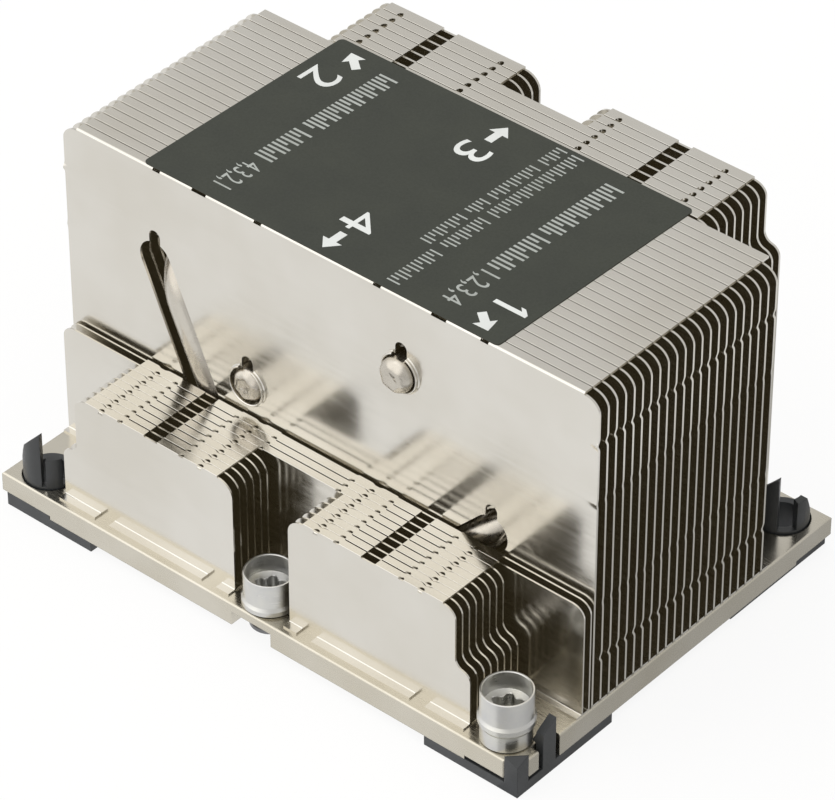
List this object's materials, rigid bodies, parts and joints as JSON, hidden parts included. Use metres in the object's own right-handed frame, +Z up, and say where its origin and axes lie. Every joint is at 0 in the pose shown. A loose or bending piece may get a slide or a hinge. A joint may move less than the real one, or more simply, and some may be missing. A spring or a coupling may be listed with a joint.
{
  "type": "passive server cpu heatsink",
  "caption": "Passive processor heatsink: a base plate with tall and low fin stacks, bent heat pipes, captive star-socket nuts and a plastic processor carrier.",
  "frame": {"origin": "centre of the base plate's contact face", "axes": "+X along the fins (the air flow), +Y from the low stack to the shorter tall stack, +Z up from the processor"},
  "size_m": [0.108, 0.078, 0.0656],
  "materials": {
    "base_metal": "satin",
    "fin_metal": "satin",
    "pipe_metal": "satin",
    "nut_steel": "satin",
    "ring_steel": "satin",
    "label_print": "satin",
    "carrier_plastic": "matt"
  },
  "bodies": {
    "sink": {"base_plate": "base_metal", "heat_pipe_a": "pipe_metal", "heat_pipe_b": "pipe_metal", "heat_pipe_c": "pipe_metal", "heat_pipe_d": "pipe_metal", "tall_fin_01": "fin_metal", "tall_fin_02": "fin_metal", "tall_fin_03": "fin_metal", "tall_fin_04": "fin_metal", "tall_fin_05": "fin_metal", "tall_fin_06": "fin_metal", "tall_fin_07": "fin_metal", "tall_fin_08": "fin_metal", "tall_fin_09": "fin_metal", "tall_fin_10": "fin_metal", "tall_fin_11": "fin_metal", "tall_fin_12": "fin_metal", "tall_fin_13": "fin_metal", "tall_fin_14": "fin_metal", "tall_fin_15": "fin_metal", "tall_fin_16": "fin_metal", "tall_fin_17": "fin_metal", "tall_fin_18": "fin_metal", "tall_fin_19": "fin_metal", "tall_fin_20": "fin_metal", "tall_fin_21": "fin_metal", "tall_fin_22": "fin_metal", "far_fin_row_1": "fin_metal", "far_fin_row_2": "fin_metal", "far_fin_row_3": "fin_metal", "far_fin_row_4": "fin_metal", "far_fin_row_5": "fin_metal", "far_fin_row_6": "fin_metal", "far_fin_row_7": "fin_metal", "far_fin_row_8": "fin_metal", "low_fin_row_01": "fin_metal", "low_fin_row_02": "fin_metal", "low_fin_row_03": "fin_metal", "low_fin_row_04": "fin_metal", "low_fin_row_05": "fin_metal", "low_fin_row_06": "fin_metal", "low_fin_row_07": "fin_metal", "low_fin_row_08": "fin_metal", "low_fin_row_09": "fin_metal", "low_fin_row_10": "fin_metal", "top_label": "label_print", "processor_carrier": "carrier_plastic"},
    "nut_1": {"captive_nut_1": "nut_steel", "retaining_ring_1": "ring_steel"},
    "nut_2": {"captive_nut_2": "nut_steel", "retaining_ring_2": "ring_steel"},
    "nut_3": {"captive_nut_3": "nut_steel", "retaining_ring_3": "ring_steel"},
    "nut_4": {"captive_nut_4": "nut_steel", "retaining_ring_4": "ring_steel"}
  },
  "joints": [
    {"name": "nut_1_turn", "type": "hinge", "parent": "sink", "child": "nut_1", "pos_m": [0.048, -0.0344, 0.0045], "axis": [0, 0, 1], "continuous": true},
    {"name": "nut_2_turn", "type": "hinge", "parent": "sink", "child": "nut_2", "pos_m": [-0.048, 0.0344, 0.0045], "axis": [0, 0, 1], "continuous": true},
    {"name": "nut_3_turn", "type": "hinge", "parent": "sink", "child": "nut_3", "pos_m": [0, 0.0344, 0.0045], "axis": [0, 0, 1], "continuous": true},
    {"name": "nut_4_turn", "type": "hinge", "parent": "sink", "child": "nut_4", "pos_m": [0, -0.0344, 0.0045], "axis": [0, 0, 1], "continuous": true}
  ]
}
